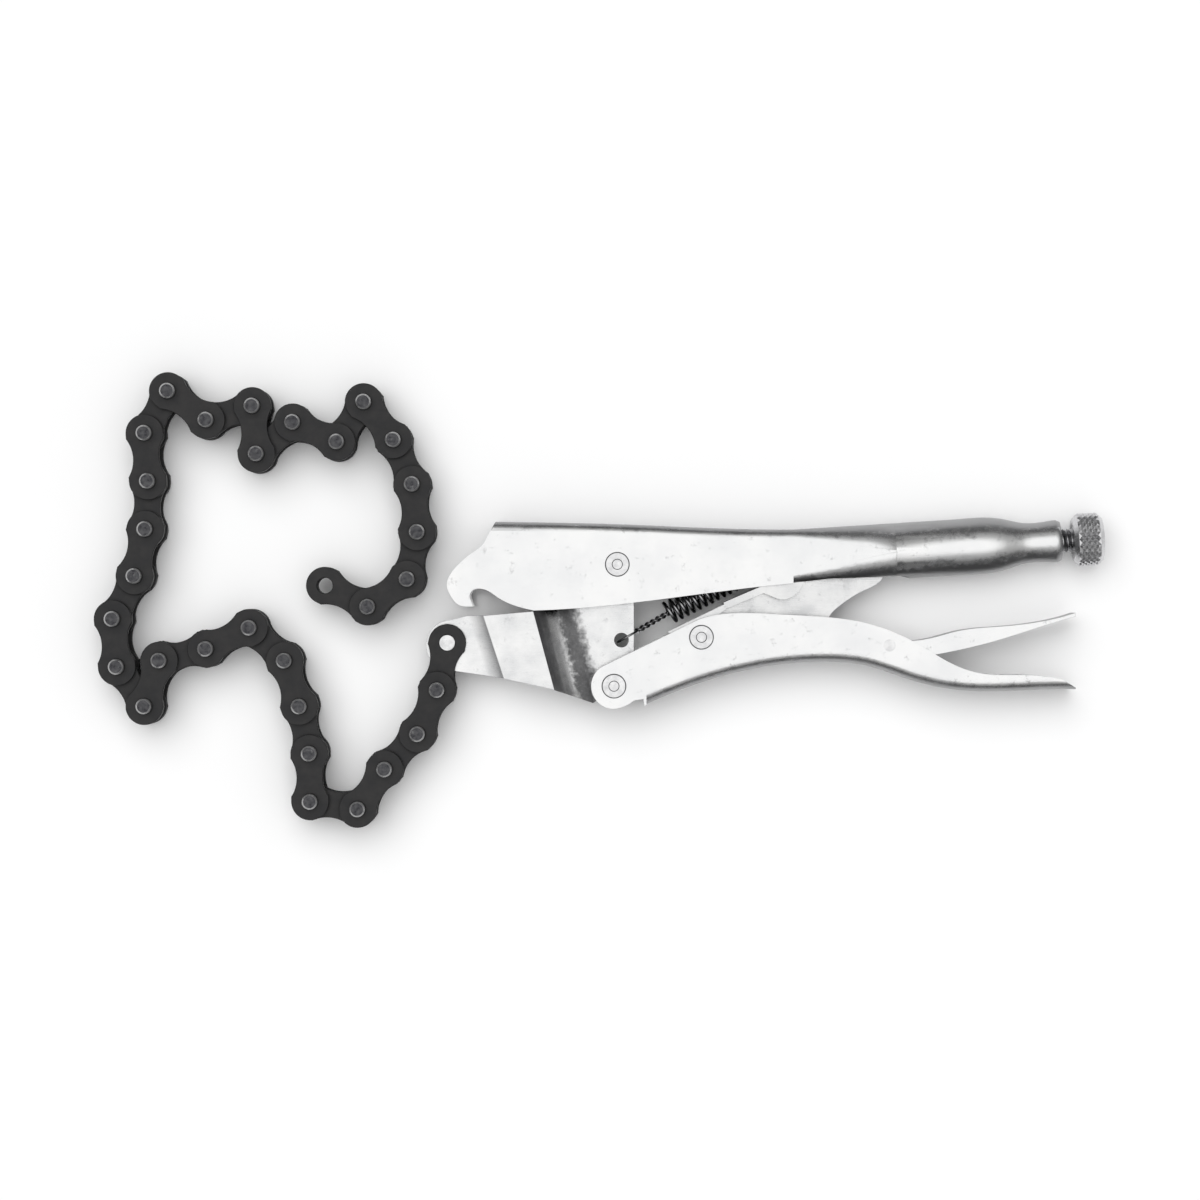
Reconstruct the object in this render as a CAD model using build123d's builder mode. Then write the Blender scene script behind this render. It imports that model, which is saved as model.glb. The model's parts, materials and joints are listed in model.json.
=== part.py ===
"""Chain-type locking pliers for oil filters, lying flat on one side.

X runs from the jaw towards the handles, Y up the side view and Z across the tool. The origin is
where the axis of the main rivet meets the plane that the tool lies on. All sizes are millimetres.
"""

import os
from math import atan2, cos, hypot, pi, radians, sin

from build123d import *

os.makedirs("parts", exist_ok=True)

# Chain
link_pitch = 15.875
pin_diameter = 5.08
pin_length = 20.0
pin_chamfer = 0.5
plate_thickness = 1.8
plate_head_radius = 6.2
plate_waist_width = 8.6
plate_gap = 0.2
bush_length = 6.0
bush_wall = 1.2
link_headings = [
    -102, -114, -133, -124, -189, -269, -258, -252, -223, -154, -166, -108, -235, -265, -297, -283,
    -273, -266, -299, -397, -343, -445, -319, -384, -304, -412, -427, -444, -462, -505, -566,
]

# Fits
running_clearance = 0.06
side_clearance = 0.4
seat_clearance = 0.2
closed_gap = 0.3

# Pressed channels of the two handles
channel_width = 18.4
wall = 2.0
upper_edge_radius = 3.0
lower_edge_radius = 3.5

# Rivets
rivet_diameter = 6.4
rivet_head_diameter = 8.2
rivet_head_height = 0.8
rivet_dimple_diameter = 3.6
rivet_dimple_depth = 0.4
release_pin_diameter = 4.0

# Joint centres in the side view
jaw_pivot = (0.0, 0.0)
handle_pivot = (-1.1, -40.1)
link_pivot = (27.7, -24.0)
link_end = (84.0, 3.9)
release_pivot = (89.6, -26.7)
chain_anchor = (-56.2, -25.9)

# Adjusting screw and its tube
screw_diameter = 7.9
screw_tilt = 3.56
screw_start = (90.0, 4.3)
tube_diameter = 18.6
tube_from = 2.0
tube_to = 57.0
collar_diameter = 14.0
neck_diameter = 13.0
tip_free_play = 2.8
knob_diameter = 17.8
knob_length = 10.0
knob_from = 61.0
knob_chamfer = 1.6
knurl_count = 24
knurl_depth = 0.7

# Jaw
jaw_tip_thickness = 5.6
jaw_tail_thickness = 8.0
jaw_boss_radius = 6.5
jaw_scoop_run = 11.5
spring_hole_diameter = 4.8
spring_hole = (1.4, -25.0)

# Toggle link
link_sheet = 2.0
link_end_radius = 5.0
link_boss_radius = 6.0
link_side_gap = 0.6

# Tension spring
coil_diameter = 8.2
spring_wire = 1.2
coil_from = (17.0, -16.0)
coil_to = (47.0, -0.5)
anchor_hole = (54.0, 5.0)
anchor_hole_diameter = 3.0
anchor_tab_width = 9.0
anchor_tab_thickness = 2.0

# Release lever
lever_sheet = 1.4
lever_side_gap = 0.8

half_channel = channel_width / 2
middle = max(pin_length / 2, half_channel + rivet_head_height)
side = Plane.XY.offset(middle)
half_inside = half_channel - wall
pin_radius = pin_diameter / 2
rivet_radius = rivet_diameter / 2


def save(part, name):
    part.part.label = name
    export_step(part.part, f"parts/{name}.step")


def shifted(points, dx, dy):
    return [(x + dx, y + dy) for x, y in points]


# Upper handle: a channel pressed from sheet, open below, that closes into a tube for the screw.
# Its two walls run forward into the hooks that catch the chain pins.
upper_top = [(-60.0, 14.4), (-40.1, 14.1), (7.6, 13.0), (25.6, 12.2), (58.0, 11.5)]
upper_front = [(-43.6, 7.6), (-47.4, 4.0), (-53.4, -1.2), (-56.1, -6.6), (-54.2, -11.4), (-49.8, -13.9)]
upper_bottom = [(-27.5, -15.2), (5.5, -12.6), (22.8, -10.4), (58.0, -6.2)]
notch = (-45.9, -10.7)
notch_radius = pin_radius + seat_clearance
channel_end = upper_top[-1][0]
tilt = radians(screw_tilt)
screw_plane = Plane(
    origin=(screw_start[0], screw_start[1], middle),
    x_dir=(cos(tilt), sin(tilt), 0),
    z_dir=(0, 0, 1),
)
screw_axis = Axis(screw_plane.origin, screw_plane.x_dir)
tube_radius = tube_diameter / 2
screw_radius = screw_diameter / 2


def channel_section(inset):
    """Section of the handle where the straight channel ends, inset by a wall or by nothing."""
    top, bottom = upper_top[-1][1], upper_bottom[-1][1]
    plane = Plane(
        origin=(channel_end, (top + bottom) / 2, middle), x_dir=(0, 1, 0), z_dir=(1, 0, 0)
    )
    with BuildSketch(plane) as section:
        Rectangle(top - bottom - 2 * inset, channel_width - 2 * inset)
        corners = section.vertices().group_by(Axis.Y)
        fillet(corners[-1], upper_edge_radius - inset * 0.8)
        corners = section.vertices().group_by(Axis.Y)
        fillet(corners[0], 0.5)
    return section.sketch


def tube_section(inset):
    """Nearly round section where the tube begins."""
    at = screw_plane.origin + screw_plane.x_dir * tube_from
    plane = Plane(origin=at, x_dir=(-sin(tilt), cos(tilt), 0), z_dir=(cos(tilt), sin(tilt), 0))
    size = tube_diameter - 2 * inset
    with BuildSketch(plane) as section:
        Rectangle(size, size)
        fillet(section.vertices(), size / 2 - 0.15)
    return section.sketch


with BuildPart() as upper_handle:
    with BuildSketch(side):
        with BuildLine():
            Spline(*upper_top)
            Polyline(upper_top[-1], (channel_end, -30), (-60, -30), upper_top[0])
        make_face()
    extrude(amount=half_channel, both=True)
    long_edges = upper_handle.edges().filter_by(lambda e: e.center().Y > 10 and e.length > 60)
    fillet(long_edges, upper_edge_radius)
    inner_top = shifted(upper_top, 0, -wall)
    with BuildSketch(side):
        with BuildLine():
            Spline(*inner_top)
            Polyline(inner_top[-1], (channel_end, -30), (-60, -30), inner_top[0])
        make_face()
    extrude(amount=half_inside, both=True, mode=Mode.SUBTRACT)
    with BuildSketch(side):
        with BuildLine():
            Polyline((channel_end, 20), (-38.0, 20), upper_top[1], upper_front[0])
            Spline(*upper_front, tangents=[(-0.45, -0.9), (1, 0)])
            Line(upper_front[-1], (notch[0] - 1.6, upper_front[-1][1]))
            Line((notch[0] - 1.6, upper_front[-1][1]), (notch[0] - notch_radius, notch[1]))
            ThreePointArc(
                (notch[0] - notch_radius, notch[1]),
                (notch[0] - notch_radius * cos(pi / 4), notch[1] + notch_radius * sin(pi / 4)),
                (notch[0], notch[1] + notch_radius),
            )
            Spline(
                (notch[0], notch[1] + notch_radius),
                (notch[0] + 6.4, notch[1] - 0.1),
                upper_bottom[0],
                tangents=[(1, 0), (0.95, -0.2)],
            )
            Spline(*upper_bottom)
            Line(upper_bottom[-1], (channel_end, 20))
        make_face()
    extrude(amount=channel_width, both=True, mode=Mode.INTERSECT)
    loft([channel_section(0), tube_section(0)])
    tube_outline = [(20.0, tube_radius), (38.5, 8.4), (44.5, 6.8), (49.0, neck_diameter / 2)]
    with BuildSketch(screw_plane):
        with BuildLine():
            Polyline((tube_from, 0), (tube_from, tube_radius), tube_outline[0])
            Spline(*tube_outline, tangents=[(1, 0), (1, 0)])
            Spline(
                tube_outline[-1],
                (tube_to - 1.2, collar_diameter / 2),
                tangents=[(1, 0), (1, 0)],
            )
            Polyline(
                (tube_to - 1.2, collar_diameter / 2),
                (tube_to, collar_diameter / 2 - 0.6),
                (tube_to, 0),
                (tube_from, 0),
            )
        make_face()
    revolve(axis=screw_axis)
    loft([channel_section(wall), tube_section(wall)], mode=Mode.SUBTRACT)
    with BuildSketch(screw_plane):
        thread_radius = screw_radius + running_clearance
        bore_radius = tube_radius - wall
        with BuildLine():
            Polyline(
                (tube_from, 0),
                (tube_from, bore_radius),
                (36.0, bore_radius),
                (42.0, thread_radius),
                (tube_to + 1, thread_radius),
                (tube_to + 1, 0),
                (tube_from, 0),
            )
        make_face()
    revolve(axis=screw_axis, mode=Mode.SUBTRACT)
    with BuildSketch(Plane.XZ.offset(-2.0)) as mouth:
        mouth_end = screw_start[0] + 3.0
        mouth_shoulder = channel_end + 12.0
        mouth_half = 4.2
        with BuildLine():
            Polyline(
                (mouth_end, middle + mouth_half),
                (mouth_shoulder, middle + half_inside),
                (channel_end, middle + half_inside),
                (channel_end, middle - half_inside),
                (mouth_shoulder, middle - half_inside),
                (mouth_end, middle - mouth_half),
            )
            ThreePointArc(
                (mouth_end, middle - mouth_half),
                (mouth_end + mouth_half, middle),
                (mouth_end, middle + mouth_half),
            )
        make_face()
    extrude(amount=20, mode=Mode.SUBTRACT)
    with BuildSketch(side):
        tab_top = 10.4
        with BuildLine():
            half_tab = anchor_tab_width / 2
            Polyline(
                (anchor_hole[0] - half_tab, anchor_hole[1]),
                (anchor_hole[0] - half_tab, tab_top),
                (anchor_hole[0] + half_tab, tab_top),
                (anchor_hole[0] + half_tab, anchor_hole[1]),
            )
            ThreePointArc(
                (anchor_hole[0] + half_tab, anchor_hole[1]),
                (anchor_hole[0], anchor_hole[1] - 3.4),
                (anchor_hole[0] - half_tab, anchor_hole[1]),
            )
        make_face()
        with Locations(anchor_hole):
            Circle(anchor_hole_diameter / 2, mode=Mode.SUBTRACT)
    extrude(amount=anchor_tab_thickness / 2, both=True)
    with Locations((*jaw_pivot, middle)):
        Hole(rivet_radius)
save(upper_handle, "upper_handle")


def rivet(centre, name):
    """Solid rivet through both channel walls, with low heads and a dimple on the upper one."""
    with BuildPart() as body:
        with Locations((*centre, middle)):
            Cylinder(rivet_radius, channel_width)
        for end in (-1, 1):
            with BuildSketch(side.offset(end * half_channel)):
                with Locations(centre):
                    Circle(rivet_head_diameter / 2)
            extrude(amount=end * rivet_head_height, taper=25)
        with BuildSketch(side.offset(half_channel + rivet_head_height)):
            with Locations(centre):
                Circle(rivet_dimple_diameter / 2)
        extrude(amount=-rivet_dimple_depth, taper=30, mode=Mode.SUBTRACT)
    save(body, name)


rivet(jaw_pivot, "main_rivet")
rivet(handle_pivot, "jaw_rivet")
rivet(link_pivot, "link_rivet")

# Lower jaw: a forging with a thin tip for the chain, a full-width pad under the handle's edge,
# a scooped shoulder and a tail that hangs from the main rivet.
scoop_top, scoop_foot = (-27.4, -16.7), (-21.2, -39.7)
groove_top, groove_foot = (-44.3, -16.7), (-37.4, -37.7)
jaw_top = [(-49.6, -17.0), (-43.4, -16.9)]
jaw_bottom = [(-54.7, -35.1), (-37.1, -37.7), (-22.0, -41.0), (-8.0, -45.8)]
tip_radius = 7.0
spring_edge = 5.5


def along(top, foot):
    """Plane across the jaw whose normal runs along a line of the side view."""
    length = hypot(foot[0] - top[0], foot[1] - top[1])
    run = ((foot[0] - top[0]) / length, (foot[1] - top[1]) / length)
    return Plane(
        origin=((top[0] + foot[0]) / 2, (top[1] + foot[1]) / 2, middle),
        x_dir=(-run[1], run[0], 0),
        z_dir=(run[0], run[1], 0),
    )


with BuildPart() as lower_jaw:
    with BuildSketch(side) as outline:
        with BuildLine():
            Polyline(
                (chain_anchor[0] - 1.4, chain_anchor[1] + tip_radius),
                *jaw_top,
                (upper_bottom[0][0], upper_bottom[0][1] - closed_gap),
                (-14.6, -14.3 - closed_gap),
                (-8.0, -4.0),
                (spring_edge - 0.6, -4.0),
                (spring_edge, -14.0),
                (spring_edge, -37.0),
                (-8.0, -45.8),
                *reversed(jaw_bottom[:-1]),
            )
            ThreePointArc(
                jaw_bottom[0],
                (chain_anchor[0] - tip_radius, chain_anchor[1] - 1.0),
                (chain_anchor[0] - 1.4, chain_anchor[1] + tip_radius),
            )
        make_face()
        with Locations(jaw_pivot, handle_pivot):
            Circle(jaw_boss_radius)
    extrude(amount=half_channel, both=True)
    tail_half = jaw_tail_thickness / 2
    tip_half = jaw_tip_thickness / 2
    beyond = half_channel + 1
    with BuildSketch(along(scoop_top, scoop_foot)):
        with BuildLine():
            ThreePointArc(
                (0, half_channel),
                (jaw_scoop_run * 0.36, half_channel - (half_channel - tail_half) * 0.66),
                (jaw_scoop_run, tail_half),
            )
            Polyline(
                (jaw_scoop_run, tail_half),
                (60, tail_half),
                (60, beyond),
                (0, beyond),
                (0, half_channel),
            )
        make_face()
        mirror(about=Plane.XZ)
    extrude(amount=40, both=True, mode=Mode.SUBTRACT)
    with BuildSketch(along(groove_top, groove_foot)):
        with Locations((-20, (beyond + tip_half) / 2), (-20, -(beyond + tip_half) / 2)):
            Rectangle(40, beyond - tip_half)
    extrude(amount=40, both=True, mode=Mode.SUBTRACT)
    boss_half = half_inside - side_clearance
    with Locations((*jaw_pivot, middle), (*handle_pivot, middle)):
        Cylinder(jaw_boss_radius, 2 * boss_half)
        Hole(rivet_radius + running_clearance)
    with Locations((*spring_hole, middle)):
        Hole(spring_hole_diameter / 2)
    with Locations((*chain_anchor, middle)):
        Hole(pin_radius)
save(lower_jaw, "lower_jaw")

with BuildPart() as chain_anchor_pin:
    anchor_pin_length = bush_length + 2 * plate_thickness
    with Locations((*chain_anchor, middle)):
        Cylinder(pin_radius, anchor_pin_length)
save(chain_anchor_pin, "chain_anchor_pin")

# Lower handle: a channel open above, whose rounded web is the grip.
lower_web = [
    (9.6, -46.1), (28.5, -38.7), (49.4, -33.6), (66.0, -32.1), (82.3, -33.4),
    (97.2, -38.2), (112.1, -41.4), (127.0, -41.8), (151.2, -41.2),
]
lower_rim = [
    (26.0, -18.6), (33.0, -16.6), (48.0, -16.2), (61.4, -16.9), (80.0, -18.9), (98.6, -26.0),
    (112.1, -33.6), (119.6, -35.9), (140.5, -36.9), (146.4, -37.9), (151.2, -40.7),
]
handle_boss_radius = 7.5
rim_above = -10.0

with BuildPart() as lower_handle:
    with BuildSketch(side):
        with BuildLine():
            Spline(*lower_web)
            Polyline(
                lower_web[-1],
                (lower_web[-1][0], rim_above),
                (lower_web[0][0], rim_above),
                lower_web[0],
            )
        make_face()
    extrude(amount=half_channel, both=True)
    web_edges = lower_handle.edges().filter_by(lambda e: e.length > 100 and e.center().Y < -30)
    fillet(web_edges, lower_edge_radius)
    inner_web = shifted(lower_web, 0, wall)
    with BuildSketch(side):
        with BuildLine():
            Spline(*inner_web)
            Polyline(
                inner_web[-1],
                (inner_web[-1][0], rim_above),
                (inner_web[0][0], rim_above),
                inner_web[0],
            )
        make_face()
    extrude(amount=half_inside, both=True, mode=Mode.SUBTRACT)
    for face_z in (half_inside, -half_channel):
        with BuildSketch(side.offset(face_z)):
            with BuildLine():
                Polyline(
                    (-12, -50), (5.5, -50), lower_web[0], (lower_web[0][0], rim_above),
                    (-12, rim_above), (-12, -50),
                )
            make_face()
        extrude(amount=wall)
    with BuildSketch(side):
        foot = (handle_pivot[0], handle_pivot[1] - handle_boss_radius)
        shoulder = (-5.0, -33.7)
        with BuildLine():
            ThreePointArc(foot, (handle_pivot[0] - handle_boss_radius, handle_pivot[1]), shoulder)
            Line(shoulder, lower_rim[0])
            Spline(*lower_rim, tangents=[(0.9, 0.43), (0.85, -0.5)])
            Line(lower_rim[-1], (lower_web[-1][0], -44))
            Polyline(
                (lower_web[-1][0], -44), (lower_web[0][0] + 4, -50), (lower_web[0][0], -50),
                (lower_web[0][0] - 1.0, -44.3), (5.5, -44.8),
            )
            ThreePointArc((5.5, -44.8), (2.6, -46.6), foot)
        make_face()
    extrude(amount=channel_width, both=True, mode=Mode.INTERSECT)
    with Locations((*handle_pivot, middle), (*link_pivot, middle)):
        Hole(rivet_radius)
    with Locations((*release_pivot, middle)):
        Hole(release_pin_diameter / 2)
save(lower_handle, "lower_handle")

with BuildPart() as release_pin:
    with Locations((*release_pivot, middle)):
        Cylinder(release_pin_diameter / 2, channel_width)
save(release_pin, "release_pin")

# Toggle link: two mirrored stampings, back to back at the rear, that straddle the spring.
strip_upper = [(16.5, -22.3), (46.4, -7.8), (60.0, -1.2)]
strip_lower = [
    (62.8, -3.0), (61.6, -6.0), (58.2, -10.4), (54.4, -11.6), (51.0, -10.6), (48.2, -9.5),
    (36.0, -14.6), (31.0, -18.5),
]
link_outer = half_inside - link_side_gap
link_back = [(57.0, -6.0), (62.0, -1.0), (79.5, 7.4)]
web_lower = [(71.8, -15.2), (69.6, -18.4), (69.0, -21.4), (60.0, -22.0), (40.0, -26.0)]
rear_edge = [(88.4, -2.5), (87.6, -4.8), (80.8, -9.0), (75.9, -12.0), (71.8, -15.2)]

for face, name in ((1, "toggle_link_upper"), (-1, "toggle_link_lower")):
    with BuildPart() as stamping:
        with BuildSketch(side.offset(face * (link_outer - link_sheet))):
            with BuildLine():
                Polyline(*strip_upper, *strip_lower[:1])
                Spline(*strip_lower[:6])
                Polyline(
                    *strip_lower[5:],
                    (link_pivot[0] + link_boss_radius, link_pivot[1]),
                    (link_pivot[0], link_pivot[1] - link_boss_radius),
                    (link_pivot[0] - link_boss_radius, link_pivot[1]),
                    strip_upper[0],
                )
            make_face()
            with Locations(link_pivot):
                Circle(link_boss_radius)
        extrude(amount=face * link_sheet)
        with BuildSketch(side):
            with BuildLine():
                Polyline(
                    (link_pivot[0] + 3, link_pivot[1] + 5), strip_lower[6], strip_lower[5],
                    *link_back,
                )
                Line(link_back[-1], (link_end[0] - 1.6, link_end[1] + 4.7))
                ThreePointArc(
                    (link_end[0] - 1.6, link_end[1] + 4.7),
                    (link_end[0] + link_end_radius * cos(0.5), link_end[1] + link_end_radius * sin(0.5)),
                    (link_end[0] + link_end_radius, link_end[1]),
                )
                Line((link_end[0] + link_end_radius, link_end[1]), rear_edge[0])
                Spline(*rear_edge)
                Spline(*web_lower[:3])
                Polyline(
                    *web_lower[2:],
                    (link_pivot[0], link_pivot[1] - link_boss_radius),
                    (link_pivot[0] + 3, link_pivot[1] + 5),
                )
            make_face()
            with Locations(link_pivot):
                Circle(link_boss_radius)
        extrude(amount=face * link_sheet)
        with BuildSketch(side):
            with BuildLine():
                Polyline(
                    strip_lower[6], strip_lower[5], (50.6, -8.6), (58.6, -4.6), (57.8, -2.6),
                    (49.8, -6.4), (47.6, -7.2), (35.0, -12.6), strip_lower[6],
                )
            make_face()
        extrude(amount=face * link_outer)
        with Locations((*link_pivot, middle)):
            Hole(rivet_radius + running_clearance)
    save(stamping, name)

# Release lever: a curled sheet with two ears on its pin, a nose under the link and a thumb tail.
lever_top = [(97.0, -25.2), (104.7, -24.0), (112.1, -22.0), (127.1, -20.4), (142.0, -18.4), (151.2, -15.9)]
lever_under = [(151.2, -17.2), (140.4, -20.4), (124.1, -25.5), (106.2, -29.6), (97.0, -31.2)]
lever_nose = [
    (88.0, -31.0), (75.0, -26.4), (71.0, -24.6), (71.2, -22.8), (76.0, -22.6), (88.0, -22.4),
]
lever_hollow = [(80.0, -40.0), (80.0, -24.2), (88.0, -23.9)]
lever_width = 2 * (half_inside - lever_side_gap)

with BuildPart() as release_lever:
    with BuildSketch(side):
        with BuildLine():
            Spline(*lever_top)
            Line(lever_top[-1], lever_under[0])
            Spline(*lever_under)
            Polyline(lever_under[-1], *lever_nose, lever_top[0])
        make_face()
    extrude(amount=lever_width / 2, both=True)
    with BuildSketch(side):
        with BuildLine():
            under_skin = shifted(lever_top[:-1], 0, -lever_sheet)
            Spline(*under_skin)
            Polyline(
                under_skin[-1], (under_skin[-1][0], lever_hollow[0][1]), *lever_hollow, under_skin[0],
            )
        make_face()
    extrude(amount=lever_width / 2 - lever_sheet, both=True, mode=Mode.SUBTRACT)
    with Locations((*release_pivot, middle)):
        Hole(release_pin_diameter / 2 + running_clearance)
save(release_lever, "release_lever")

# Adjusting screw and its knurled knob.
tip_at = link_end[0] - screw_start[0] + link_end_radius + tip_free_play
with BuildPart() as adjusting_screw:
    with BuildSketch(screw_plane):
        with BuildLine():
            Polyline(
                (tip_at, 0), (tip_at, screw_radius - 1.0), (tip_at + 1.0, screw_radius),
                (knob_from + knob_length - 1.0, screw_radius), (knob_from + knob_length - 1.0, 0),
                (tip_at, 0),
            )
        make_face()
    revolve(axis=screw_axis)
save(adjusting_screw, "adjusting_screw")

with BuildPart() as adjusting_knob:
    knob_radius = knob_diameter / 2
    with BuildSketch(screw_plane):
        with BuildLine():
            Polyline(
                (knob_from, screw_radius + running_clearance),
                (knob_from, knob_radius - knob_chamfer),
                (knob_from + knob_chamfer, knob_radius),
                (knob_from + knob_length - knob_chamfer, knob_radius),
                (knob_from + knob_length, knob_radius - knob_chamfer),
                (knob_from + knob_length, 0),
                (knob_from + knob_length - 0.9, 0),
                (knob_from + knob_length - 0.9, screw_radius + running_clearance),
                (knob_from, screw_radius + running_clearance),
            )
        make_face()
    revolve(axis=screw_axis)
    knurl_plane = Plane(
        origin=screw_plane.origin + screw_plane.x_dir * (knob_from - 1),
        x_dir=(0, 0, 1),
        z_dir=screw_plane.x_dir,
    )
    with BuildSketch(knurl_plane):
        with PolarLocations(knob_radius, knurl_count):
            Rectangle(knurl_depth * 1.6, knurl_depth * 1.6, rotation=45)
    extrude(amount=knob_length + 2, mode=Mode.SUBTRACT)
save(adjusting_knob, "adjusting_knob")

# Tension spring: its hooks sit in the jaw's hole and in the tab under the upper handle's web.
coil_run = hypot(coil_to[0] - coil_from[0], coil_to[1] - coil_from[1])
coil_angle = atan2(coil_to[1] - coil_from[1], coil_to[0] - coil_from[0])
coil_plane = Plane(
    origin=(*coil_from, middle),
    x_dir=(cos(coil_angle), sin(coil_angle), 0),
    z_dir=(0, 0, 1),
)
with BuildPart() as tension_spring:
    wire_radius = spring_wire / 2
    with BuildSketch(Plane(origin=coil_plane.origin, z_dir=coil_plane.x_dir)):
        Circle(coil_diameter / 2)
        Circle(coil_diameter / 2 - spring_wire, mode=Mode.SUBTRACT)
    extrude(amount=coil_run)
    coil_reach = (coil_diameter - spring_wire) / 2
    for plate_half, hole, coil_end in (
        (jaw_tail_thickness / 2, spring_hole, coil_from),
        (anchor_tab_thickness / 2, anchor_hole, coil_to),
    ):
        hook_reach = plate_half + wire_radius + closed_gap
        with BuildSketch(Plane(origin=(*hole, middle - hook_reach - wire_radius))):
            Circle(wire_radius)
        extrude(amount=2 * (hook_reach + wire_radius))
        for face in (1, -1):
            start = Vector(*hole, middle + face * hook_reach)
            arm = Vector(*coil_end, middle + face * coil_reach) - start
            with BuildSketch(Plane(origin=start, z_dir=arm)):
                Circle(wire_radius)
            extrude(amount=arm.length)
        with BuildSketch(Plane((*coil_end, middle), x_dir=(0, 0, 1), z_dir=coil_plane.x_dir)):
            Rectangle(2 * coil_reach, spring_wire)
        extrude(amount=wire_radius, both=True)
save(tension_spring, "tension_spring")

# Chain: plates and pins are made once, flat along X, and each link is placed by its heading.
inner_face = bush_length / 2
outer_face = inner_face + plate_thickness + plate_gap


def plate_outline(holes):
    """Figure-eight plate between two pins, with a waist."""
    waist_radius = ((link_pitch / 2) ** 2 + (plate_waist_width / 2) ** 2 - plate_head_radius**2) / (
        2 * (plate_head_radius - plate_waist_width / 2)
    )
    with BuildSketch() as outline:
        with Locations((0, 0), (link_pitch, 0)):
            Circle(plate_head_radius)
        with Locations((link_pitch / 2, 0)):
            Rectangle(link_pitch, 2 * plate_head_radius)
        with Locations(
            (link_pitch / 2, plate_waist_width / 2 + waist_radius),
            (link_pitch / 2, -plate_waist_width / 2 - waist_radius),
        ):
            Circle(waist_radius, mode=Mode.SUBTRACT)
        for at, radius in holes:
            with Locations((at, 0)):
                Circle(radius, mode=Mode.SUBTRACT)
    return outline.sketch


def inner_link(bushes):
    """Two inner plates joined by pressed-in bushes at the given ends."""
    bore = pin_radius + running_clearance
    outline = plate_outline([(0, bore), (link_pitch, bore)])
    with BuildPart() as link:
        for face in (1, -1):
            with BuildSketch(Plane.XY.offset(face * inner_face)):
                add(outline)
            extrude(amount=face * plate_thickness)
        with BuildSketch():
            with Locations(*[(at, 0) for at in bushes]):
                Circle(bore + bush_wall)
                Circle(bore, mode=Mode.SUBTRACT)
        extrude(amount=inner_face, both=True)
    return link.part


def outer_link():
    outline = plate_outline([(0, pin_radius), (link_pitch, pin_radius)])
    with BuildPart() as link:
        for face in (1, -1):
            with BuildSketch(Plane.XY.offset(face * outer_face)):
                add(outline)
            extrude(amount=face * plate_thickness)
    return link.part


def pin_pair():
    with BuildPart() as pins:
        with Locations((0, 0), (link_pitch, 0)):
            Cylinder(pin_radius, pin_length)
        rims = pins.edges().filter_by(GeomType.CIRCLE)
        chamfer(rims, pin_chamfer)
    return pins.part


first_link = inner_link([link_pitch])
inner = inner_link([0, link_pitch])
outer = outer_link()
pins = pin_pair()
x, y = chain_anchor
for number, heading in enumerate(link_headings, start=1):
    place = Location((x, y, middle), (0, 0, heading))
    if number == 1:
        plates = first_link
    elif number % 2:
        plates = inner
    else:
        plates = outer
    with BuildPart() as chain_link:
        add(plates.moved(place))
    save(chain_link, f"chain_link_{number:02d}")
    if number % 2 == 0:
        with BuildPart() as chain_pins:
            add(pins.moved(place))
        save(chain_pins, f"chain_pins_{number:02d}")
    x += link_pitch * cos(radians(heading))
    y += link_pitch * sin(radians(heading))
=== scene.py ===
"""Looks of the chain-type locking pliers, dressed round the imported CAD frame. Lengths are metres."""

import json
import math

import bmesh
import bpy
from mathutils import Matrix, Vector


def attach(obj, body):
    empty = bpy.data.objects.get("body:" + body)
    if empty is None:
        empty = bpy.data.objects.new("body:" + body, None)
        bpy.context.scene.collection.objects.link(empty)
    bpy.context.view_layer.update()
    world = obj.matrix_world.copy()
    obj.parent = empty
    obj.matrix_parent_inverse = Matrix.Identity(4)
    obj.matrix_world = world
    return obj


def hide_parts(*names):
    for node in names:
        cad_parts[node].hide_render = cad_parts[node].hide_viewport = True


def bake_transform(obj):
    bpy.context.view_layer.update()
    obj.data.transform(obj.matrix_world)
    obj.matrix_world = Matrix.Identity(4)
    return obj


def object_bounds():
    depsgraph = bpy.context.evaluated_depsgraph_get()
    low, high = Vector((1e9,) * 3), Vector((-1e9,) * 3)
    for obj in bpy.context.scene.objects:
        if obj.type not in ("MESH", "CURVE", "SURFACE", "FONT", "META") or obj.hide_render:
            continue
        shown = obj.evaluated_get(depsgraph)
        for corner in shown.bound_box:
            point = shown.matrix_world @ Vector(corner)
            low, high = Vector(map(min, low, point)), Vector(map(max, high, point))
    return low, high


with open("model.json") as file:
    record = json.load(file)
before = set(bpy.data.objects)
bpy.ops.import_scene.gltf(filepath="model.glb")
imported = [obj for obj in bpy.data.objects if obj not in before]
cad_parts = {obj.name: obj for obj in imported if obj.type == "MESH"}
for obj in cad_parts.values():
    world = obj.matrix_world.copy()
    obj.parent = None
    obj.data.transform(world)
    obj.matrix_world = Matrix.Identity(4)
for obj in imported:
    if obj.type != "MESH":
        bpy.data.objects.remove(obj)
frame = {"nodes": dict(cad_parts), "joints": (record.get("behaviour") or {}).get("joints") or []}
cad_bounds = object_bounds()

# Upper handle: a channel pressed from sheet steel, which closes into a tube for the screw.
# Its flats are polished and plated with bright nickel. Its bends are rougher, and painted darker with a
# mottled border as painted shade.
nodes = frame["nodes"]
MM = 0.001


def new_group(name, inputs, outputs):
    group = bpy.data.node_groups.new(name, "ShaderNodeTree")
    for label, value in inputs.items():
        socket = group.interface.new_socket(label, in_out="INPUT", socket_type="NodeSocketFloat")
        socket.default_value = value
    for label in outputs:
        group.interface.new_socket(label, in_out="OUTPUT", socket_type="NodeSocketFloat")
    return group, group.nodes.new("NodeGroupInput").outputs, group.nodes.new("NodeGroupOutput").inputs


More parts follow.
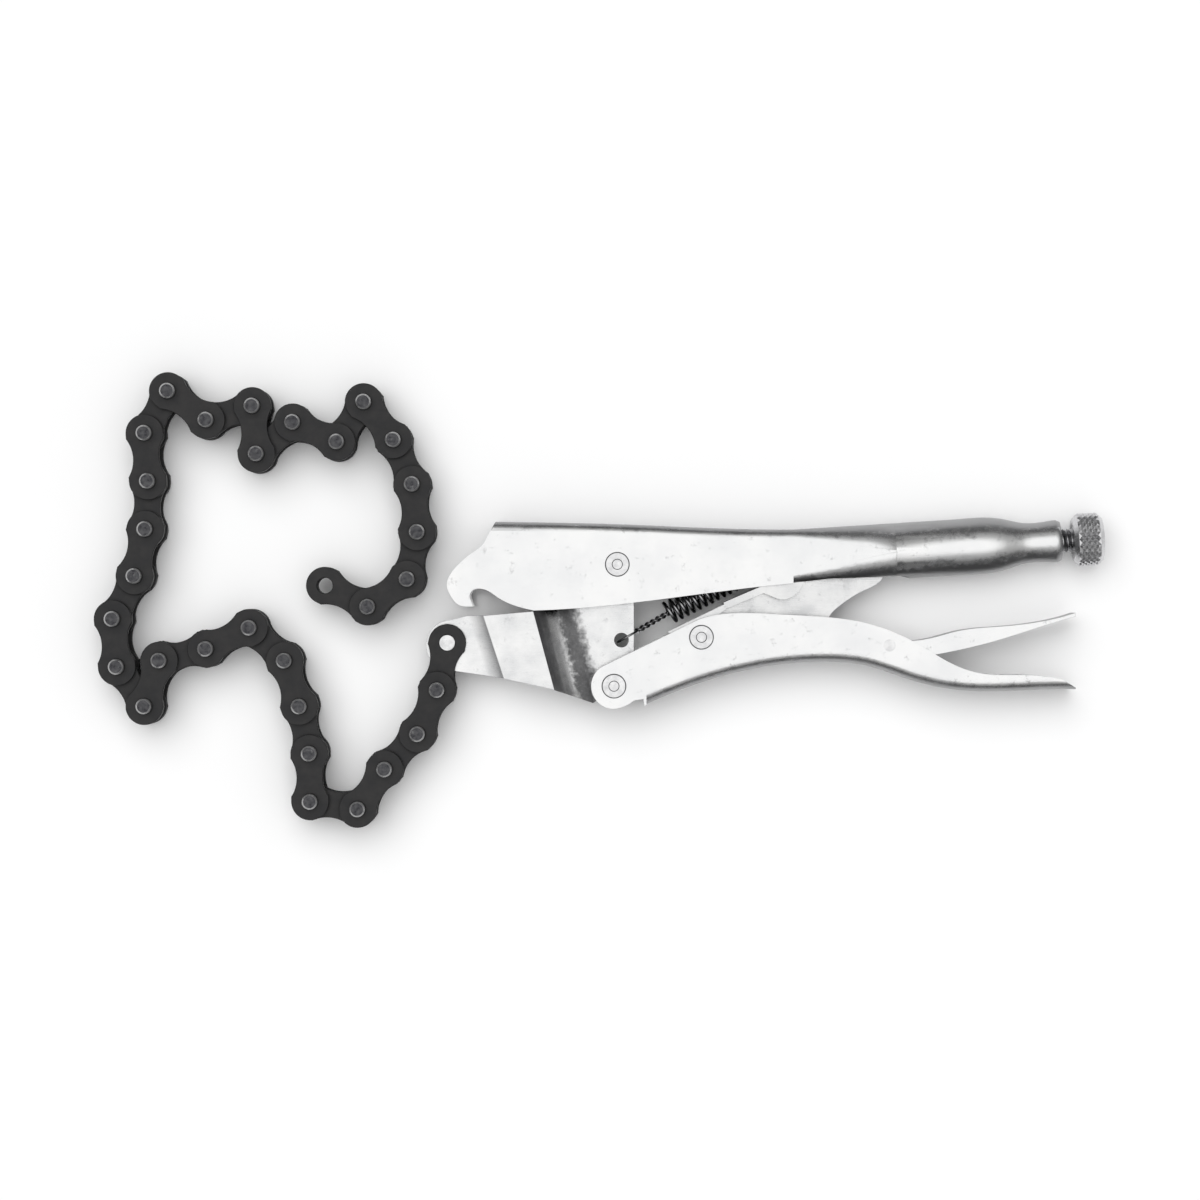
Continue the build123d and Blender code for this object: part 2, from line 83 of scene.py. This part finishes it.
def noise(tree, place, scale, detail=4.0, roughness=0.55):
    """Cloud of values round 0.5. The scale is a number or another node's output."""
    node = tree.nodes.new("ShaderNodeTexNoise")
    node.inputs["Detail"].default_value = detail
    node.inputs["Roughness"].default_value = roughness
    tree.links.new(place, node.inputs["Vector"])
    if isinstance(scale, float):
        node.inputs["Scale"].default_value = scale
    else:
        tree.links.new(scale, node.inputs["Scale"])
    return node.outputs["Fac"]


def spread(tree, value, low, high, low_result=0.0, high_result=1.0):
    """Carry a value from one range to another, held at both ends."""
    node = tree.nodes.new("ShaderNodeMapRange")
    for label, number in (
        ("From Min", low), ("From Max", high), ("To Min", low_result), ("To Max", high_result),
    ):
        node.inputs[label].default_value = number
    tree.links.new(value, node.inputs["Value"])
    return node.outputs["Result"]


def combine(tree, operation, first, second):
    node = tree.nodes.new("ShaderNodeMath")
    node.operation = operation
    for socket, value in zip(node.inputs, (first, second)):
        if isinstance(value, float):
            socket.default_value = value
        else:
            tree.links.new(value, socket)
    return node.outputs[0]


def tint(tree, factor, first, second):
    """Colour between two others, each a tuple or another node's output."""
    node = tree.nodes.new("ShaderNodeMix")
    node.data_type = "RGBA"
    tree.links.new(factor, node.inputs["Factor"])
    for socket, value in ((node.inputs[6], first), (node.inputs[7], second)):
        if isinstance(value, tuple):
            socket.default_value = (*value, 1.0)
        else:
            tree.links.new(value, socket)
    return node.outputs[2]


def build_metal_marks():
    """Clouding, fine grain and drawn scratches of a metal surface, each from 0 to 1."""
    group, given, result = new_group(
        "metal_marks", {"Cloud Scale": 90.0, "Grain Scale": 1800.0}, ("Cloud", "Grain", "Scratch")
    )
    place = group.nodes.new("ShaderNodeTexCoord").outputs["Object"]
    group.links.new(noise(group, place, given["Cloud Scale"]), result["Cloud"])
    group.links.new(noise(group, place, given["Grain Scale"], 3.0, 0.7), result["Grain"])
    draw = group.nodes.new("ShaderNodeMapping")
    draw.inputs["Scale"].default_value = (160.0, 5200.0, 5200.0)
    draw.inputs["Rotation"].default_value = (0.0, 0.0, math.radians(-4))
    group.links.new(place, draw.inputs["Vector"])
    group.links.new(noise(group, draw.outputs["Vector"], 1.0, 2.0, 0.6), result["Scratch"])
    return group


# Mask of the bends, where marked_metal adds roughness and mixes in its painted bend tone.
def build_bend_mask():
    """1 on surfaces that lean from the tool's flat sides, with a ragged border, else 0."""
    group, given, result = new_group(
        "bend_mask", {"Flat": 0.95, "Leaning": 0.72, "Border Scale": 300.0}, ("Bend",)
    )
    coordinates = group.nodes.new("ShaderNodeTexCoord")
    axes = group.nodes.new("ShaderNodeSeparateXYZ")
    group.links.new(coordinates.outputs["Normal"], axes.inputs["Vector"])
    lean = combine(group, "ABSOLUTE", axes.outputs["Z"], 0.0)
    ragged = noise(group, coordinates.outputs["Object"], given["Border Scale"], 5.0, 0.7)
    lean = combine(group, "ADD", lean, spread(group, ragged, 0.3, 0.7, -0.14, 0.14))
    reach = group.nodes.new("ShaderNodeMapRange")
    reach.interpolation_type = "SMOOTHSTEP"
    group.links.new(lean, reach.inputs["Value"])
    group.links.new(given["Flat"], reach.inputs["From Min"])
    group.links.new(given["Leaning"], reach.inputs["From Max"])
    group.links.new(reach.outputs["Result"], result["Bend"])
    return group


metal_marks = build_metal_marks()
bend_mask = build_bend_mask()


def use_group(tree, group, **values):
    node = tree.nodes.new("ShaderNodeGroup")
    node.node_tree = group
    for label, value in values.items():
        node.inputs[label.replace("_", " ")].default_value = value
    return node.outputs


def marked_metal(name, light, dark, painted_bend_shading, gloss, satin_rough, clouds, grains, relief, metallic=1.0):
    """Metal that drifts between two tints and two degrees of gloss. Its bends are rougher, and their colour
    turns to a painted bend tone: painted shade on most metals, a painted highlight on the chain pins.
    """
    material = bpy.data.materials.new(name)
    material.use_nodes = True
    tree = material.node_tree
    shader = tree.nodes["Principled BSDF"]
    marks = use_group(tree, metal_marks, Cloud_Scale=clouds, Grain_Scale=grains)
    bend = use_group(tree, bend_mask)["Bend"]
    face = tint(tree, spread(tree, marks["Cloud"], 0.35, 0.68), light, dark)
    # The bends' colour is mixed toward the painted bend tone: painted shade on most metals, a painted
    # highlight on the chain pins.
    tree.links.new(tint(tree, bend, face, painted_bend_shading), shader.inputs["Base Color"])
    scratched = spread(tree, marks["Scratch"], 0.45, 0.75, 0.0, 0.08)
    rough = combine(tree, "ADD", spread(tree, marks["Cloud"], 0.3, 0.7, *gloss), scratched)
    rough = combine(tree, "ADD", rough, spread(tree, bend, 0.0, 1.0, 0.0, satin_rough))
    tree.links.new(rough, shader.inputs["Roughness"])
    bump = tree.nodes.new("ShaderNodeBump")
    bump.inputs["Strength"].default_value = relief
    bump.inputs["Distance"].default_value = 0.0004
    tree.links.new(combine(tree, "ADD", marks["Grain"], marks["Scratch"]), bump.inputs["Height"])
    tree.links.new(bump.outputs["Normal"], shader.inputs["Normal"])
    shader.inputs["Metallic"].default_value = metallic
    return material


def dress(node, material):
    slots = nodes[node].data.materials
    slots.clear()
    slots.append(material)


def soften(node, width, segments=2):
    """Break the sharp edges of a CAD node, as tumbling does before it is plated."""
    weld = nodes[node].modifiers.new("joined_skin", "WELD")
    weld.merge_threshold = 0.001 * MM
    bevel = nodes[node].modifiers.new("soft_edges", "BEVEL")
    bevel.width = width
    bevel.segments = segments
    bevel.limit_method = "ANGLE"
    bevel.angle_limit = math.radians(38)
    bevel.harden_normals = True


bright_nickel = marked_metal(
    "bright_nickel", (0.95, 0.95, 0.945), (0.88, 0.885, 0.89), (0.36, 0.36, 0.365),
    (0.10, 0.20), 0.22, 60.0, 1800.0, 0.03,
)
dress("upper_handle", bright_nickel)
soften("upper_handle", 0.3 * MM)

# Lower handle: a second pressed channel, open above, whose rolled lower edge is the grip.
# It is the same bright nickel.
dress("lower_handle", bright_nickel)
soften("lower_handle", 0.3 * MM)

# Toggle link: two mirrored stampings laid back to back. They are rougher than the handles, because they aren't
# polished after pressing, and their colour is painted darker as painted shade, for their place recessed
# between the handles.
# Its darker tints are painted shade, and its higher roughness is the unpolished finish.
stamped_nickel = marked_metal(
    "stamped_nickel", (0.88, 0.88, 0.875), (0.76, 0.765, 0.77), (0.40, 0.40, 0.405),
    (0.18, 0.30), 0.18, 110.0, 1500.0, 0.05,
)
for node in ("toggle_link_upper", "toggle_link_lower"):
    dress(node, stamped_nickel)
    soften(node, 0.25 * MM)

# Release lever: thin sheet steel curled lengthways. It swings on a pin through the lower
# handle, and is plated like the handles.
dress("release_lever", bright_nickel)
soften("release_lever", 0.25 * MM)

# Rivets and cross pins: headed steel pins with a dimple, set through the cheeks and plated
# with the tool.
# Its third colour is painted shade on the rounded and chamfered edges of the rivets.
turned_steel = marked_metal(
    "turned_steel", (0.90, 0.90, 0.90), (0.72, 0.72, 0.73), (0.30, 0.30, 0.31),
    (0.12, 0.26), 0.10, 400.0, 2600.0, 0.05,
)
for node in ("main_rivet", "jaw_rivet", "link_rivet", "release_pin", "chain_anchor_pin"):
    dress(node, turned_steel)
for node in ("main_rivet", "jaw_rivet", "link_rivet"):
    soften(node, 0.3 * MM, 3)

# Lower jaw: a forging. Its tip and pad are ground bright. Painted shade darkens the corner beside the tip
# where it steps up to the pad, and greys the concave scoop behind the pad. The bend behind the scoop is
# rougher, and painted dark and mottled as painted shade on its concave fillet.
pad_edge = (-24.3 * MM, -28.2 * MM)
pad_way = (0.9655, 0.2603)
step_edge = (-40.9 * MM, -27.2 * MM)
step_way = (0.950, 0.312)


def distance_across(tree, place, edge, way):
    """Signed distance in millimetres of a point from a straight edge of the side view."""
    dot = tree.nodes.new("ShaderNodeVectorMath")
    dot.operation = "DOT_PRODUCT"
    dot.inputs[1].default_value = (way[0] / MM, way[1] / MM, 0.0)
    tree.links.new(place, dot.inputs[0])
    offset = (edge[0] * way[0] + edge[1] * way[1]) / MM
    return combine(tree, "SUBTRACT", dot.outputs["Value"], offset)


def band(tree, value, start, full, last, end):
    """1 between full and last, fading to 0 at start and end."""
    rise = spread(tree, value, start, full)
    fall = spread(tree, value, last, end, 1.0, 0.0)
    return combine(tree, "MULTIPLY", rise, fall)


def build_forged_jaw():
    material = marked_metal(
        "forged_jaw", (0.93, 0.93, 0.925), (0.82, 0.825, 0.83), (0.42, 0.42, 0.425),
        (0.16, 0.28), 0.18, 120.0, 1100.0, 0.06,
    )
    tree = material.node_tree
    shader = tree.nodes["Principled BSDF"]
    place = tree.nodes.new("ShaderNodeTexCoord").outputs["Object"]
    behind_pad = distance_across(tree, place, pad_edge, pad_way)
    ragged = spread(tree, noise(tree, place, 420.0, 6.0, 0.75), 0.3, 0.7, -1.6, 1.6)
    rough_shaded_bend = band(tree, combine(tree, "ADD", behind_pad, ragged), 6.4, 8.4, 12.2, 15.4)
    painted_scoop_shade = band(tree, behind_pad, 0.1, 1.4, 5.0, 9.0)
    painted_step_shade = band(tree, distance_across(tree, place, step_edge, step_way), -5.0, -0.6, 0.0, 0.3)
    colour = shader.inputs["Base Color"].links[0].from_socket
    # Painted shade: the corner on the tip's side of its step up to the pad is darkened.
    colour = tint(tree, combine(tree, "MULTIPLY", painted_step_shade, 0.8), colour, (0.20, 0.20, 0.205))
    # Painted shade: the concave scoop just behind the pad is greyed.
    colour = tint(tree, combine(tree, "MULTIPLY", painted_scoop_shade, 0.45), colour, (0.42, 0.42, 0.425))
    # Painted shade: the bend behind the scoop is painted dark and mottled, and it is also made rougher.
    mottled_bend_shade = tint(tree, noise(tree, place, 900.0, 5.0, 0.8), (0.02, 0.02, 0.022), (0.34, 0.34, 0.345))
    colour = tint(tree, combine(tree, "MULTIPLY", rough_shaded_bend, 0.92), colour, mottled_bend_shade)
    tree.links.new(colour, shader.inputs["Base Color"])
    rough = shader.inputs["Roughness"].links[0].from_socket
    rough = combine(tree, "ADD", rough, spread(tree, rough_shaded_bend, 0.0, 1.0, 0.0, 0.3))
    tree.links.new(rough, shader.inputs["Roughness"])
    return material


dress("lower_jaw", build_forged_jaw())
soften("lower_jaw", 0.25 * MM)

# Adjusting screw: turned steel with a rolled thread. Its tip bears on the toggle link, and its
# other end carries the knob.
knob_joint = next(joint for joint in frame["joints"] if joint["name"] == "knob_turn")
screw_way = Vector(knob_joint["axis"]).normalized()
knob_middle = Vector(knob_joint["pos_m"])
screw_start = knob_middle - screw_way * 64.2 * MM
shank_length = 68.2 * MM
thread_root = 3.3 * MM
thread_crest = 3.9 * MM
thread_pitch = 1.5 * MM
thread_turns = 42


def start_mesh():
    """Deselect all, so that the next operator works on its own primitive alone."""
    if bpy.context.mode != "OBJECT":
        bpy.ops.object.mode_set(mode="OBJECT")
    bpy.ops.object.select_all(action="DESELECT")


def pick(kind, wanted):
    """In edit mode, select the faces or edges that pass a test."""
    bpy.ops.mesh.select_mode(type={"faces": "FACE", "edges": "EDGE"}[kind])
    bpy.ops.mesh.select_all(action="DESELECT")
    mesh = bmesh.from_edit_mesh(bpy.context.object.data)
    for item in getattr(mesh, kind):
        if wanted(item):
            item.select_set(True)
    mesh.select_flush_mode()
    bmesh.update_edit_mesh(bpy.context.object.data)


def put_in_mesh():
    bpy.ops.object.transform_apply(location=True, rotation=True, scale=True)


def wind(pitch, turns, steps):
    """Sweep the active profile round its own Z axis into a helix, and close its ends."""
    piece = bpy.context.object
    helix = piece.modifiers.new("helix", "SCREW")
    helix.axis = "Z"
    helix.angle = 2 * math.pi
    helix.screw_offset = pitch
    helix.iterations = turns
    helix.steps = steps
    helix.render_steps = steps
    helix.use_smooth_shade = True
    bpy.ops.object.modifier_apply(modifier=helix.name)
    bpy.ops.object.mode_set(mode="EDIT")
    bpy.ops.mesh.select_all(action="SELECT")
    bpy.ops.mesh.fill_holes(sides=24)
    bpy.ops.mesh.normals_make_consistent(inside=False)
    bpy.ops.object.mode_set(mode="OBJECT")
    return piece


def set_along(piece, start, way):
    """Turn a piece's own Z axis onto a line, move it there, and put its place in its mesh."""
    start_mesh()
    piece.select_set(True)
    bpy.context.view_layer.objects.active = piece
    piece.rotation_mode = "QUATERNION"
    piece.rotation_quaternion = way.to_track_quat("Z", "Y")
    piece.location = start
    put_in_mesh()


def join_into(name, pieces):
    start_mesh()
    for piece in pieces:
        piece.select_set(True)
    bpy.context.view_layer.objects.active = pieces[0]
    bpy.ops.object.join()
    pieces[0].name = name
    return pieces[0]


start_mesh()
bpy.ops.mesh.primitive_circle_add(
    vertices=4, radius=MM, location=(thread_root, 0, 0), rotation=(math.pi / 2, 0, 0)
)
bpy.context.object.scale = ((thread_crest - thread_root) / MM, thread_pitch * 0.46 / MM, 1)
put_in_mesh()
thread = wind(thread_pitch, thread_turns, 28)
set_along(thread, Vector((0, 0, 1.5 * MM)), Vector((0, 0, 1)))

start_mesh()
bpy.ops.mesh.primitive_cylinder_add(
    vertices=48, radius=thread_root, depth=shank_length, location=(0, 0, shank_length / 2)
)
shank = bpy.context.object
bpy.ops.object.mode_set(mode="EDIT")
pick("faces", lambda face: face.normal.z < -0.9)
bpy.ops.mesh.bevel(offset=0.8 * MM, segments=2, affect="EDGES")
bpy.ops.object.mode_set(mode="OBJECT")
put_in_mesh()
screw = join_into("threaded_screw", [shank, thread])
bpy.ops.object.shade_smooth_by_angle(angle=math.radians(28))
set_along(screw, screw_start, screw_way)
screw.data.materials.append(turned_steel)
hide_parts("adjusting_screw")
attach(screw, "adjusting_screw")

# Knob: turned steel with a diamond knurl between two chamfers, and a shallow dish in each end.
# It is pressed onto the screw.
knurl_columns = 24
knurl_rows = 4
knurl_radius = 8.3 * MM
knurl_width = 7.2 * MM
knurl_height = 0.55 * MM
chamfer_width = 1.35 * MM
tiny = 0.001 * MM

start_mesh()
bpy.ops.mesh.primitive_cylinder_add(vertices=knurl_columns, radius=knurl_radius, depth=knurl_width)
knob = bpy.context.object
knob.name = "knurled_knob"


def upright(edge):
    first, second = (vertex.co for vertex in edge.verts)
    return math.hypot(first.x - second.x, first.y - second.y) < tiny


def level_inside(edge):
    first, second = (vertex.co for vertex in edge.verts)
    return abs(first.z - second.z) < tiny and abs(first.z) < knurl_width / 2 - tiny


def on_side(face):
    return abs(face.normal.z) < 0.5


bpy.ops.object.mode_set(mode="EDIT")
pick("edges", upright)
bpy.ops.mesh.subdivide(number_cuts=knurl_rows - 1)
pick("faces", on_side)
bpy.ops.mesh.poke()
pick("edges", lambda edge: upright(edge) or level_inside(edge))
bpy.ops.mesh.dissolve_edges(use_verts=False)
pick("faces", lambda face: on_side(face) and len(face.verts) == 4)
bpy.ops.mesh.poke(offset=knurl_height)
for end in (1, -1):
    pick("faces", lambda face: face.normal.z * end > 0.9)
    bpy.ops.mesh.extrude_region_move(TRANSFORM_OT_translate={"value": (0, 0, end * chamfer_width)})
    bpy.ops.transform.resize(value=(0.84, 0.84, 1.0), center_override=(0, 0, 0))
    bpy.ops.mesh.inset(thickness=1.2 * MM, depth=0.0)
    bpy.ops.mesh.inset(thickness=0.8 * MM, depth=-0.5 * MM)
bpy.ops.mesh.select_all(action="SELECT")
bpy.ops.mesh.normals_make_consistent(inside=False)
bpy.ops.object.mode_set(mode="OBJECT")
bpy.ops.object.shade_smooth_by_angle(angle=math.radians(18))
set_along(knob, knob_middle, screw_way)
# Its third colour is painted shade on the chamfers and the leaning flanks of the knurl.
knurled_steel = marked_metal(
    "knurled_steel", (0.86, 0.86, 0.865), (0.70, 0.70, 0.71), (0.62, 0.62, 0.63),
    (0.16, 0.28), 0.05, 500.0, 2600.0, 0.04,
)
knob.data.materials.append(knurled_steel)
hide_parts("adjusting_knob")
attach(knob, "adjusting_knob")

# Tension spring: bright drawn wire. A twisted leader ends in a loop through the jaw's hole, the
# coil is a little stretched at rest, and a hook holds the tab of the upper handle.
jaw_hole = Vector((1.4 * MM, -25.0 * MM, 10.0 * MM))
coil_start = Vector((17.0 * MM, -16.0 * MM, 10.0 * MM))
coil_end = Vector((47.0 * MM, -0.5 * MM, 10.0 * MM))
tab_hole = Vector((54.0 * MM, 5.0 * MM, 10.0 * MM))
wire_radius = 0.6 * MM
strand_radius = 0.5 * MM
coil_radius = 3.5 * MM
coil_turns = 15
coil_way = (coil_end - coil_start).normalized()
coil_frame = coil_way.to_track_quat("Z", "Y")
leader_way = (coil_start - jaw_hole).normalized()
leader_start = jaw_hole + leader_way * 6.0 * MM
leader_length = (coil_start - leader_start).length


def wound_wire(wire, radius, length, turns, phase=0.0):
    """Helix of round wire round Z, which starts at Z = 0 at an angle."""
    start_mesh()
    bpy.ops.mesh.primitive_circle_add(
        vertices=10, radius=wire, location=(radius, 0, 0), rotation=(math.pi / 2, 0, 0)
    )
    put_in_mesh()
    piece = wind(length / turns, turns, 20)
    piece.rotation_euler = (0, 0, phase)
    put_in_mesh()
    return piece


def finish_wire(curve, wire):
    curve.data.bevel_depth = wire
    curve.data.bevel_resolution = 3
    curve.data.resolution_u = 12
    curve.data.use_fill_caps = True
    bpy.ops.object.convert(target="MESH")
    return bpy.context.object


def bent_wire(start, start_pull, end, end_pull, wire):
    """Round wire from one point to another, pulled out of a straight line at each."""
    start_mesh()
    bpy.ops.curve.primitive_bezier_curve_add(location=(0, 0, 0))
    curve = bpy.context.object
    ends = ((start, start_pull), (end, end_pull))
    for point, (place, pull) in zip(curve.data.splines[0].bezier_points, ends):
        point.handle_left_type = "FREE"
        point.handle_right_type = "FREE"
        point.co = place
        point.handle_left = place - pull
        point.handle_right = place + pull
    return finish_wire(curve, wire)


def wire_loop(centre, way, reach, rise, wire):
    """Closed oval of wire that stands across the tool, along a line of the side view."""
    start_mesh()
    bpy.ops.curve.primitive_bezier_circle_add(radius=1.0, location=(0, 0, 0))
    curve = bpy.context.object
    lift = Vector((0, 0, 1))
    curve.scale = (reach, rise, 1)
    curve.rotation_mode = "QUATERNION"
    curve.rotation_quaternion = Matrix((way, lift, way.cross(lift))).transposed().to_quaternion()
    curve.location = centre
    put_in_mesh()
    return finish_wire(curve, wire)


coil = wound_wire(wire_radius, coil_radius, (coil_end - coil_start).length, coil_turns)
set_along(coil, coil_start, coil_way)
strands = []
for phase in (0.0, math.pi):
    strand = wound_wire(strand_radius, strand_radius, leader_length, 3, phase)
    set_along(strand, leader_start, leader_way)
    strands.append(strand)
spoke = coil_frame @ Vector((coil_radius, 0, 0))
round_way = coil_frame @ Vector((0, coil_radius, 0))
front_link = bent_wire(
    coil_start - leader_way * 1.0 * MM, leader_way * 2.0 * MM, coil_start + spoke, round_way * 0.8, wire_radius
)
rear_link = bent_wire(
    coil_end + spoke, round_way * 0.8, tab_hole - coil_way * 4.6 * MM, coil_way * 1.6 * MM, wire_radius
)
front_loop = wire_loop(jaw_hole + leader_way * 2.6 * MM, leader_way, 3.9 * MM, 4.7 * MM, wire_radius)
rear_loop = wire_loop(tab_hole - coil_way * 2.2 * MM, coil_way, 2.9 * MM, 2.4 * MM, wire_radius)
spring = join_into("coil_spring", [coil, *strands, front_link, rear_link, front_loop, rear_loop])
bpy.ops.object.shade_smooth_by_angle(angle=math.radians(50))
# Its third colour is painted shade on the leaning sides of the wire.
spring_wire = marked_metal(
    "spring_wire", (0.62, 0.62, 0.63), (0.40, 0.40, 0.41), (0.16, 0.16, 0.165),
    (0.16, 0.28), 0.06, 600.0, 3000.0, 0.04,
)
spring.data.materials.append(spring_wire)
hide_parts("tension_spring")
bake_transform(spring)

# Chain: blanked plates on bushes, all in black oxide. The pins' chamfered ends carry a painted highlight,
# and the plates' rounded edges a slight painted shade.
# Its third colour is painted shade, a little darker on the rounded edges of the plates.
oxide_plate = marked_metal(
    "black_oxide_plate", (0.018, 0.018, 0.019), (0.030, 0.029, 0.029), (0.012, 0.012, 0.012),
    (0.36, 0.52), 0.05, 260.0, 1500.0, 0.12, 0.0,
)
oxide_plate.node_tree.nodes["Principled BSDF"].inputs["Specular IOR Level"].default_value = 0.3
# Its third colour is a painted highlight, bright on the chamfered ends of the pins.
oxide_pin = marked_metal(
    "black_oxide_pin", (0.045, 0.045, 0.05), (0.12, 0.12, 0.125), (0.50, 0.50, 0.50),
    (0.24, 0.40), 0.0, 700.0, 2400.0, 0.10, 0.85,
)
for number in range(1, 32):
    dress(f"chain_link_{number:02d}", oxide_plate)
    soften(f"chain_link_{number:02d}", 0.25 * MM)
    if number % 2 == 0:
        dress(f"chain_pins_{number:02d}", oxide_pin)

# Floor: a seamless pale sheet, just under the faces that the tool lies on.
low, high = (Vector(corner) for corner in cad_bounds)
centre = (low + high) / 2
start_mesh()
bpy.ops.mesh.primitive_plane_add(size=6.0, location=(centre.x, centre.y, low.z - 0.1 * MM))
floor = bpy.context.object
floor.name = "floor_sheet"
pale_sheet = bpy.data.materials.new("pale_sheet")
pale_sheet.use_nodes = True
sheet = pale_sheet.node_tree
sheet_shader = sheet.nodes["Principled BSDF"]
sheet_clouds = noise(sheet, sheet.nodes.new("ShaderNodeTexCoord").outputs["Object"], 14.0)
sheet_colour = tint(sheet, sheet_clouds, (0.93, 0.93, 0.93), (0.95, 0.95, 0.95))
sheet.links.new(sheet_colour, sheet_shader.inputs["Base Color"])
sheet_shader.inputs["Roughness"].default_value = 0.9
sheet_shader.inputs["Specular IOR Level"].default_value = 0.1
floor.data.materials.append(pale_sheet)

# Light: a soft tent, bright overhead and dark towards the horizon, which draws the bends of the
# polished metal, and two wide soft lamps that only the matt surfaces show.
world = bpy.data.worlds.new("soft_tent")
bpy.context.scene.world = world
world.use_nodes = True
sky = world.node_tree
sky_axes = sky.nodes.new("ShaderNodeSeparateXYZ")
sky.links.new(sky.nodes.new("ShaderNodeTexCoord").outputs["Generated"], sky_axes.inputs["Vector"])
sky_ramp = sky.nodes.new("ShaderNodeValToRGB")
sky.links.new(sky_axes.outputs["Z"], sky_ramp.inputs["Fac"])
stops = sky_ramp.color_ramp.elements
stops[0].position, stops[0].color = 0.0, (0.16, 0.16, 0.165, 1)
stops[1].position, stops[1].color = 0.95, (1.0, 1.0, 1.0, 1)
for place, grey in ((0.45, 0.12), (0.80, 0.45)):
    stop = stops.new(place)
    stop.color = (grey, grey, grey, 1)
sky.links.new(sky_ramp.outputs["Color"], sky.nodes["Background"].inputs["Color"])
sky.nodes["Background"].inputs["Strength"].default_value = 1.0


def soft_lamp(name, strength, width, way):
    bpy.ops.object.light_add(type="SUN", location=centre + Vector(way))
    lamp = bpy.context.object
    lamp.name = name
    lamp.data.energy = strength
    lamp.data.angle = math.radians(width)
    lamp.rotation_mode = "QUATERNION"
    lamp.rotation_quaternion = Vector(way).to_track_quat("Z", "Y")
    lamp.visible_glossy = False


soft_lamp("key_lamp", 1.5, 60, (-0.25, 0.35, 1.0))
soft_lamp("fill_lamp", 0.7, 120, (0.4, -0.3, 1.0))

# Camera: straight above the tool, with a long lens, as the photograph was taken.
view_width = 0.398
bpy.ops.object.camera_add()
camera = bpy.context.object
camera.name = "overhead_camera"
camera.data.lens = 110
camera.data.sensor_width = 36
camera.location = centre + Vector((0, 0, view_width * camera.data.lens / camera.data.sensor_width))
camera.rotation_euler = (0, 0, 0)
camera.data.clip_start = 0.05
camera.data.clip_end = 20
bpy.context.scene.camera = camera
bpy.context.scene.view_settings.view_transform = "Standard"
